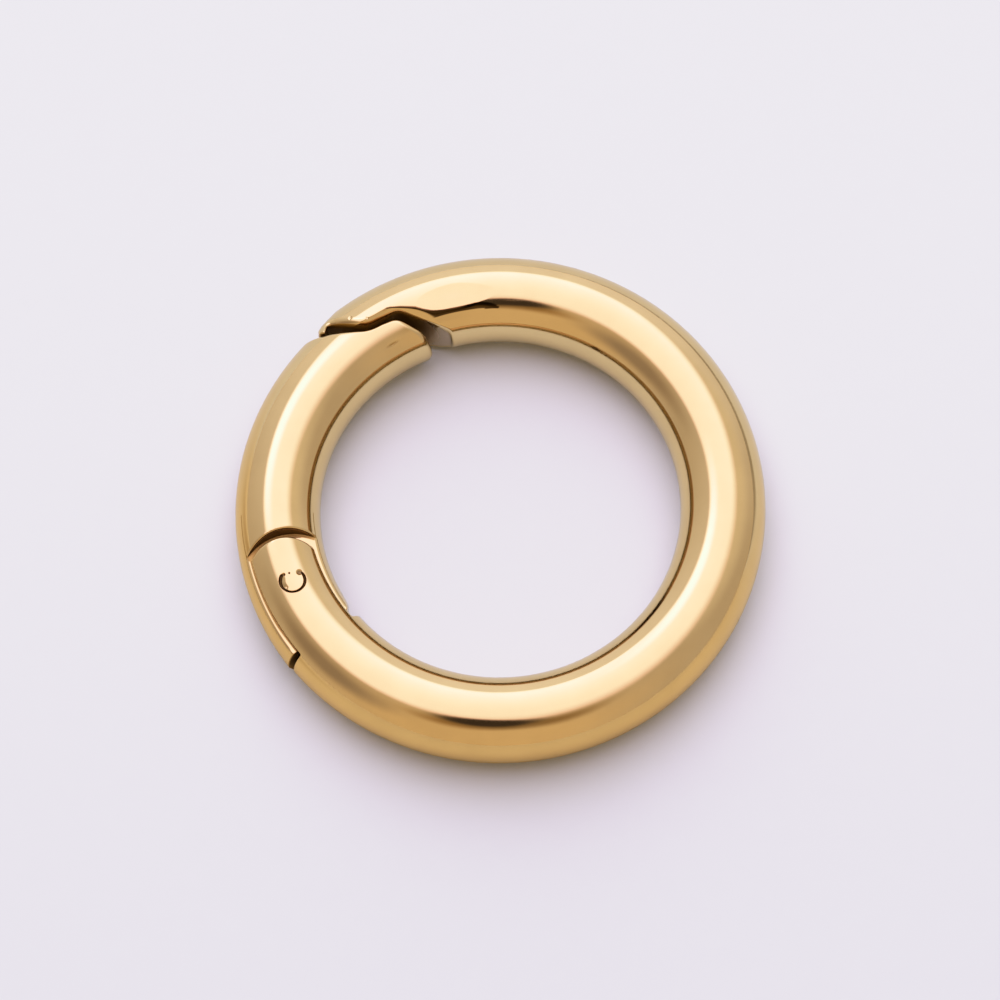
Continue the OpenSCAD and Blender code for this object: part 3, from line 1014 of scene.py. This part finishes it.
class SPRINGRING_OT_ring_body(bpy.types.Operator):
    """Build the ring's body, with its hook and its fork"""

    bl_idname = "spring_ring.ring_body"
    bl_label = "Ring Body"

    def execute(self, context):
        form = ring_form()
        grid = WireGrid(form)
        hook_lines = degrees((85.5, 104, 0.6), (104, 128.5, 0.4), (128.5, 137, 0.22), (137, 141, 0.5))
        hook = grid.net(form.hook_end, hook_lines, HOOK_LINES, NOSE_LINES)
        fork_lines = degrees((189, 198.2, 0.3), (198.2, 207.4, 0.18), (207.4, 222, 0.3), (222, 242, 1))
        fork = grid.net(form.fork_end, fork_lines, PIN_LINES, SLOT_LINES)
        plain = grid.tube(form.wire, degrees((242.5, 445, 2.5)), TUBE_SIDES)
        body = fork.joined(plain).joined(hook)
        body.zipped(1, 2, grid.round_section).zipped(3, 4, grid.round_section)
        body.with_painted_shade(form.body_painted_shade, form.body_shade)
        metal = gold("ring gold", context.scene.metal_finish.recess_shade)
        add_piece(body, "ring_body_polished", metal, "ring", "ring_body")
        return {"FINISHED"}


class SPRINGRING_OT_gate(bpy.types.Operator):
    """Build the gate, with its nose and its tongue"""

    bl_idname = "spring_ring.gate"
    bl_label = "Gate"

    def execute(self, context):
        form = ring_form()
        grid = WireGrid(form, form.size.gate_droop)
        nose = grid.net(form.nose_end, degrees((101, 147, 0.33)), NOSE_LINES, NOSE_LINES)
        tongue = grid.net(form.tongue_end, degrees((183, 222, 0.33)), NOSE_LINES, SLOT_LINES)
        plain = grid.tube(form.gate_wire, degrees((147.5, 182.5, 2.5)), TUBE_SIDES)
        gate = nose.joined(plain).joined(tongue)
        gate.zipped(1, 2, grid.round_section).zipped(3, 4, grid.round_section)
        gate.with_painted_shade(form.gate_painted_shade)
        metal = gold("gate gold", context.scene.metal_finish.gate_recess_shade)
        add_piece(gate, "gate_polished", metal, "gate", "gate")
        return {"FINISHED"}


def rivet_end(form, upper):
    """Rings of points and normals of one end of the rivet, from its head to the middle of the wire."""
    size = form.size
    angle = full_turn(RIVET_SIDES)
    cos, sin = np.cos(angle), np.sin(angle)
    head = graded((0, 0.3, 0.03), (0.3, 0.72, 0.0125), (0.72, 0.86, 0.035))[1:] * MM
    proud = RIVET_PROUD * (1 - 2 * smooth(*RIVET_RIM, head))
    points = []
    for r, lift in zip(head, proud):
        x, y = form.pin[0] + r * cos, form.pin[1] + r * sin
        marks = form.rivet_marks(x, y) if upper else 0 * x
        points.append(np.stack([x, y, form.skin_height(x, y) - marks + lift], -1))

    def over_head(p):
        x, y = p[:, 0], p[:, 1]
        return p[:, 2] - form.skin_height(x, y) + form.rivet_marks(x, y) * upper

    points = np.concatenate(points)
    normals = gradient(over_head, points, 2e-6)
    normals /= np.linalg.norm(normals, axis=1, keepdims=True)
    # Below the head's top: radius, depth under the skin, and how far the surface faces outwards and up.
    shank = size.pin_d / 2
    below = (
        (size.head_r, 0.012 * MM, 0, -1),
        (size.head_r, 0.03 * MM, 1, 0),
        (size.head_r, size.head_depth, 1, 0),
        (shank, size.head_depth, 0, -1),
        (shank, size.head_depth + 0.1 * MM, 1, 0),
        (shank, None, 1, 0),
    )
    for r, under, out, up in below:
        x, y = form.pin[0] + r * cos, form.pin[1] + r * sin
        z = form.skin_height(x, y) - under if under else np.full(RIVET_SIDES, form.wire_r + size.slot_h / 4)
        points = np.concatenate([points, np.stack([x, y, z], -1)])
        facing = np.stack([out * cos, out * sin, np.full(RIVET_SIDES, float(up))], -1)
        normals = np.concatenate([normals, facing])
    if upper:
        return points, normals
    points[:, 2] = size.wire_d - points[:, 2]
    normals[:, 2] *= -1
    return tuple(rows.reshape(-1, RIVET_SIDES, 3)[::-1].reshape(-1, 3) for rows in (points, normals))


class SPRINGRING_OT_rivet(bpy.types.Operator):
    """Build the rivet that the gate turns on"""

    bl_idname = "spring_ring.rivet"
    bl_label = "Rivet"

    def execute(self, context):
        form = ring_form()
        (top, top_normals), (base, base_normals) = rivet_end(form, True), rivet_end(form, False)
        points, normals = np.concatenate([top, base]), np.concatenate([top_normals, base_normals])
        centre = form.skin_height(*form.pin) + RIVET_PROUD
        tips = [[*form.pin, centre], [*form.pin, form.size.wire_d - centre]]
        rivet = capped(points, normals, RIVET_SIDES, tips, [[0, 0, 1], [0, 0, -1]])
        rivet.with_painted_shade(form.rivet_painted_shade)
        finish = context.scene.metal_finish
        # The rivet's groove, lean and hollows are painted near black with the crevice tint: painted shade.
        metal = polished_metal("rivet gold", finish.gold, 1.2 * finish.polish, finish.ripple,
                               1.5 * finish.scratches, finish.crevice_shade, RIVET_RECESS_SPAN)
        add_piece(rivet, "rivet_polished", metal, "ring", "hinge_pin")
        return {"FINISHED"}


class SPRINGRING_OT_spring(bpy.types.Operator):
    """Build the coil spring in its hole behind the tongue"""

    bl_idname = "spring_ring.spring"
    bl_label = "Spring"

    def execute(self, context):
        form, size = ring_form(), context.scene.ring_sizes
        wire_r = size.spring_wire_d / 2
        gap = 0.07 * MM
        coil_r = size.spring_hole_d / 2 - gap - wire_r
        start = size.slot_reach + gap + wire_r
        stop = size.slot_reach + size.spring_hole_depth - gap - wire_r
        closed = 1.25
        open_turns = (stop - start - 2 * closed * size.spring_wire_d) / size.spring_pitch
        last = open_turns + 2 * closed
        turns = np.linspace(0, last, round(last * COIL_STEPS) + 1)
        at_end = (turns < closed) | (turns > turns[-1] - closed)
        rise = np.where(at_end, size.spring_wire_d, size.spring_pitch)
        along = start + np.concatenate([[0], np.cumsum(np.diff(turns) * (rise[1:] + rise[:-1]) / 2)])
        along = start + (along - start) * (stop - start) / (along[-1] - start)
        out = direction(form.pin_angle + size.slot_skew)
        across, on, up = np.array([*out, 0]), np.array([-out[1], out[0], 0]), np.array([0, 0, 1.0])
        middle = np.array([*form.pin, form.wire_r]) - across * size.spring_shift
        spin = turns * 2 * math.pi
        radial = np.cos(spin)[:, None] * across + np.sin(spin)[:, None] * up
        centre = middle + along[:, None] * on + coil_r * radial
        ahead = np.gradient(centre, axis=0)
        ahead /= np.linalg.norm(ahead, axis=1, keepdims=True)
        side = np.cross(ahead, radial)
        phi = full_turn(COIL_SIDES)
        normals = np.cos(phi)[None, :, None] * radial[:, None] + np.sin(phi)[None, :, None] * side[:, None]
        points = (centre[:, None] + wire_r * normals).reshape(-1, 3)
        coil = capped(points, normals.reshape(-1, 3), COIL_SIDES, [centre[0], centre[-1]],
                      [-ahead[0], ahead[-1]])
        no_tint = (1.0, 1.0, 1.0)
        steel = polished_metal("spring steel", context.scene.metal_finish.steel, 0.3, 0.2, 0.6, no_tint)
        add_piece(coil, "spring_coil", steel, "ring", "gate_spring")
        return {"FINISHED"}


# Stretches of the floor's painted light and painted tints in the metal, as the places where each begins and
# is
# full: along Y from lit to dimmer, away from the ring's middle outside the hole, and along X and Y at the
# ring's near, left and right sides.
DIMMER_Y = (30 * MM, -45 * MM)
OUTSIDE = (8.5 * MM, 10.5 * MM)
NEAR_Y = (10 * MM, -14 * MM)
LEFT_X, LEFT_OFF, LEFT_MIDDLE = (-14 * MM, -30 * MM), (20 * MM, 4 * MM), -5 * MM
RIGHT_X, RIGHT_Y = (24 * MM, 34 * MM), (0.0, 12 * MM)
# How much of a place's way to the left counts as towards the camera.
LEFT_IS_NEAR = 0.6


def floor_material(look):
    """Matt pale board with a trace of grain, painted a little brighter towards the light, and painted
    darker and tinted where the metal reflects it.
    """
    material, nodes = new_material("pale board")
    place = nodes.add("ShaderNodeTexCoord").outputs["Object"]
    x, y, _ = nodes.add("ShaderNodeSeparateXYZ", inputs={"Vector": place}).outputs
    grain = nodes.noise(place, 900.0, 3.0)
    # Painted light: the board's colour falls off towards the camera.
    lit = nodes.math("SUBTRACT", 1.0, nodes.spread(y, *DIMMER_Y, 0.0, look.floor_falloff))
    speck = nodes.math("ADD", nodes.math("MULTIPLY", grain, 0.02), 0.98)
    tone = nodes.blend(nodes.math("MULTIPLY", lit, speck), colour((0, 0, 0)), colour(look.floor))
    away = nodes.add("ShaderNodeVectorMath", {"operation": "LENGTH"}, {0: place}).outputs["Value"]
    # The near floor's painted warm tint in the metal also takes in the floor on the ring's left.
    left = nodes.math("MULTIPLY", nodes.math("MINIMUM", x, 0.0), LEFT_IS_NEAR)
    front = nodes.spread(nodes.math("ADD", y, left), *NEAR_Y)
    near = nodes.math("MULTIPLY", nodes.spread(away, *OUTSIDE), front)
    seen = nodes.blend(near, colour(look.floor_in_metal), colour(look.near_floor_in_metal))
    # Painted dark stretches of floor outside the picture, seen only in the metal, where they make dark
    # lines at its sides.
    off = nodes.math("ABSOLUTE", nodes.math("SUBTRACT", y, LEFT_MIDDLE))
    far_left = nodes.math("MULTIPLY", nodes.spread(x, *LEFT_X), nodes.spread(off, *LEFT_OFF))
    far_right = nodes.math("MULTIPLY", nodes.spread(x, *RIGHT_X), nodes.spread(y, *RIGHT_Y))
    seen = nodes.blend(far_left, seen, nodes.tinted(seen, colour(look.left_floor_in_metal)))
    seen = nodes.blend(far_right, seen, nodes.tinted(seen, colour(look.right_floor_in_metal)))
    # Painted reflection: only rays from the metal see the floor with these tints.
    glossy = nodes.add("ShaderNodeLightPath").outputs["Is Glossy Ray"]
    tone = nodes.tinted(tone, nodes.blend(glossy, colour((1, 1, 1)), seen))
    bump = nodes.add("ShaderNodeBump", inputs={"Strength": 0.05, "Distance": 0.0001, "Height": grain})
    nodes.surface({"Base Color": tone, "Roughness": 0.8, "Specular IOR Level": 0.15,
                   "Normal": bump.outputs["Normal"]})
    return material


def add_floor(look):
    """A wide round floor under the ring."""
    rings = graded((0, 0.1, 0.02), (0.1, look.floor_r, 0.2))
    sides = 96
    turn_round = full_turn(sides)
    points = [(0, 0, 0)] + [(r * math.cos(t), r * math.sin(t), 0) for r in rings[1:] for t in turn_round]
    faces = [(0, 1 + k, 1 + (k + 1) % sides) for k in range(sides)]
    for ring in range(len(rings) - 2):
        low, high = 1 + ring * sides, 1 + (ring + 1) * sides
        faces += [(low + k, high + k, high + (k + 1) % sides, low + (k + 1) % sides) for k in range(sides)]
    mesh = bpy.data.meshes.new("floor")
    mesh.from_pydata(points, [], faces)
    mesh.materials.append(floor_material(look))
    floor = bpy.data.objects.new("floor", mesh)
    bpy.context.scene.collection.objects.link(floor)


# Soft patches of the room that the metal reflects: direction round the ring and above the floor in degrees,
# angle up to which the patch is full, angle at which it ends, and its light.
ROOM_PATCHES = (
    (90, 18, 0, 90, (0.93, 0.88, 0.95)),
    (262, 22, 20, 75, (0.66, 0.49, 0.33)),
    (30, 45, 5, 36, (0.72, 0.63, 0.56)),
    (207, 34, 6, 30, (0.29, 0.23, 0.20)),
)
LENS_PATCHES = (
    (252, 53, 1, 16, (0.30, 0.18, 0.08)),
    (290, 56, 1, 18, (0.26, 0.17, 0.09)),
    (268, 57, 3, 16, (0.20, 0.13, 0.07)),
    (263, 63.5, 6.5, 13, (0.04, 0.03, 0.025)),
)
HOT_PATCH = (127, 51, 2, 18, (3.0, 2.4, 3.1))
# The part of the room behind the ring, in the same way, which throws more light on the floor.
BACK_PATCH = (104, 20, 15, 54)

# The overhead panel, as shares of its height: how far left its middle is, and between which places its edge
# turns from sharp to soft and its light from near to far. Rays below the last value count as that high.
PANEL_SHIFT = 0.05
PANEL_SOFT_X = (-0.35, 0.2)
PANEL_FAR_Y = (-0.2, 1.5)
LOWEST_RAY = 0.02


def add_world(look):
    """Soft studio light: a dim room, a large panel overhead, and a plain pale backdrop for the camera."""
    world = bpy.data.worlds.new("studio light")
    bpy.context.scene.world = world
    world.use_nodes = True
    world.node_tree.nodes.clear()
    nodes = Nodes(world.node_tree)
    ray = nodes.add("ShaderNodeTexCoord").outputs["Generated"]
    split = nodes.add("ShaderNodeSeparateXYZ", inputs={"Vector": ray}).outputs

    def patch(light, azimuth, elevation, full, end, rgb):
        azimuth, elevation = math.radians(azimuth), math.radians(elevation)
        axis = (*direction(azimuth) * math.cos(elevation), math.sin(elevation))
        dot = nodes.add("ShaderNodeVectorMath", {"operation": "DOT_PRODUCT"}, {0: ray, 1: axis})
        angle = nodes.math("ARCCOSINE", dot.outputs["Value"])
        return nodes.blend(nodes.spread(angle, math.radians(end), math.radians(full)), light, colour(rgb))

    light = colour(look.room)
    for row in ROOM_PATCHES:
        light = patch(light, *row)
    # The panel as a soft round-cornered sheet, measured where rays meet a ceiling one unit up.
    height = nodes.math("MAXIMUM", split["Z"], LOWEST_RAY)
    x, y = nodes.math("DIVIDE", split["X"], height), nodes.math("DIVIDE", split["Y"], height)
    corner = look.panel_corner
    off_x = nodes.math("ABSOLUTE", nodes.math("ADD", x, PANEL_SHIFT))
    over_x = nodes.math("SUBTRACT", off_x, look.panel_half_w - corner)
    over_front = nodes.math("SUBTRACT", look.panel_front + corner, y)
    over_back = nodes.math("SUBTRACT", y, look.panel_back - corner)
    across = nodes.math("MAXIMUM", over_x, 0.0)
    along = nodes.math("MAXIMUM", nodes.math("MAXIMUM", over_front, over_back), 0.0)
    squares = (nodes.math("MULTIPLY", across, across), nodes.math("MULTIPLY", along, along))
    reach = nodes.math("SQRT", nodes.math("ADD", *squares))
    soft = nodes.spread(x, *PANEL_SOFT_X, look.panel_sharp, look.panel_soft)
    lit = nodes.spread(reach, nodes.math("ADD", corner, soft), nodes.math("SUBTRACT", corner, soft))
    tone = nodes.blend(nodes.spread(y, *PANEL_FAR_Y), colour(look.panel), colour(look.panel_far))
    light = nodes.blend(lit, light, patch(tone, *HOT_PATCH))
    for row in LENS_PATCHES:
        light = patch(light, *row)
    path = nodes.add("ShaderNodeLightPath").outputs
    light = nodes.blend(path["Is Camera Ray"], light, colour(look.backdrop))
    fill = patch(colour(look.room_fill), *BACK_PATCH, look.back_fill)
    fill = nodes.blend(lit, fill, colour(look.panel_fill))
    filled = nodes.tinted(light, nodes.blend(path["Is Diffuse Ray"], colour((1, 1, 1)), fill))
    background = nodes.add("ShaderNodeBackground", inputs={"Color": filled})
    nodes.add("ShaderNodeOutputWorld", inputs={"Surface": background.outputs["Background"]})


def add_camera(look):
    """The camera at the photograph's angle, looking just beside the ring's middle."""
    wire_r = (RING_HI.z - RING_LO.z) / 2
    tilt = look.camera_elevation
    middle = Vector((0, 0, wire_r))
    back = Vector((0, -math.cos(tilt), math.sin(tilt)))
    up = Vector((0, math.sin(tilt), math.cos(tilt)))
    aim = middle + Vector((1, 0, 0)) * look.aim_right + up * look.aim_up
    data = bpy.data.cameras.new("camera")
    camera = bpy.data.objects.new("camera", data)
    bpy.context.scene.collection.objects.link(camera)
    data.sensor_width, data.lens = 36, look.camera_lens
    data.clip_start, data.clip_end = 0.01, 10
    camera.location = middle + back * look.camera_distance
    facing = (aim - camera.location).to_track_quat("-Z", "Y").to_matrix()
    camera.rotation_mode = "QUATERNION"
    camera.rotation_quaternion = (facing @ Matrix.Rotation(-look.camera_roll, 3, "Z")).to_quaternion()
    bpy.context.scene.camera = camera


# The film's curve: light that comes in and tone that it turns to, and the light that turns to full white.
FILM_SHOULDER = ((0.65, 0.65), (0.85, 0.80), (1.1, 0.885), (1.3, 0.95), (1.5, 0.995))
FILM_WHITE = 1.9


def set_film():
    """Plain colours with a film's soft shoulder, so that bright gold turns to cream instead of clipping."""
    view = bpy.context.scene.view_settings
    view.view_transform = "Standard"
    view.look = "None"
    view.use_curve_mapping = True
    mapping = view.curve_mapping
    mapping.clip_max_x = mapping.clip_max_y = 4.0
    curve = mapping.curves[3]
    curve.points[1].location = (FILM_WHITE, 1.0)
    for x, y in FILM_SHOULDER:
        curve.points.new(x, y)
    mapping.update()


class SPRINGRING_OT_stage(bpy.types.Operator):
    """Build the floor, the light and the camera"""

    bl_idname = "spring_ring.stage"
    bl_label = "Stage"

    def execute(self, context):
        look = context.scene.stage_look
        add_floor(look)
        add_world(look)
        add_camera(look)
        set_film()
        return {"FINISHED"}


GROUPS = {
    "ring_sizes": RingSizes,
    "edge_roundings": EdgeRoundings,
    "metal_finish": MetalFinish,
    "stage_look": StageLook,
}
OPERATORS = (
    SPRINGRING_OT_ring_body,
    SPRINGRING_OT_gate,
    SPRINGRING_OT_rivet,
    SPRINGRING_OT_spring,
    SPRINGRING_OT_stage,
)


class SPRINGRING_PT_sidebar(bpy.types.Panel):
    """The pieces, and the sizes and colours that they are built from"""

    bl_idname = "SPRINGRING_PT_sidebar"
    bl_label = "Spring Gate Ring"
    bl_space_type = "VIEW_3D"
    bl_region_type = "UI"
    bl_category = "Spring Gate Ring"

    def draw(self, context):
        for operator in OPERATORS:
            self.layout.operator(operator.bl_idname)
        for name, group in GROUPS.items():
            box = self.layout.box()
            box.label(text=group.__doc__)
            for key in group.__annotations__:
                box.prop(getattr(context.scene, name), key)


def register():
    """Makes the groups, operators and panel known to Blender."""
    for cls in (*GROUPS.values(), *OPERATORS, SPRINGRING_PT_sidebar):
        bpy.utils.register_class(cls)
    for name, group in GROUPS.items():
        setattr(bpy.types.Scene, name, bpy.props.PointerProperty(type=group))


def unregister():
    """Takes them away again."""
    for name in GROUPS:
        delattr(bpy.types.Scene, name)
    for cls in reversed((*GROUPS.values(), *OPERATORS, SPRINGRING_PT_sidebar)):
        bpy.utils.unregister_class(cls)


def main():
    """Builds everything: the ring's body, the gate, the rivet, the spring and the stage."""
    register()
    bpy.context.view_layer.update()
    bpy.ops.spring_ring.ring_body()
    bpy.ops.spring_ring.gate()
    bpy.ops.spring_ring.rivet()
    bpy.ops.spring_ring.spring()
    bpy.ops.spring_ring.stage()


if __name__ == "__main__":
    main()
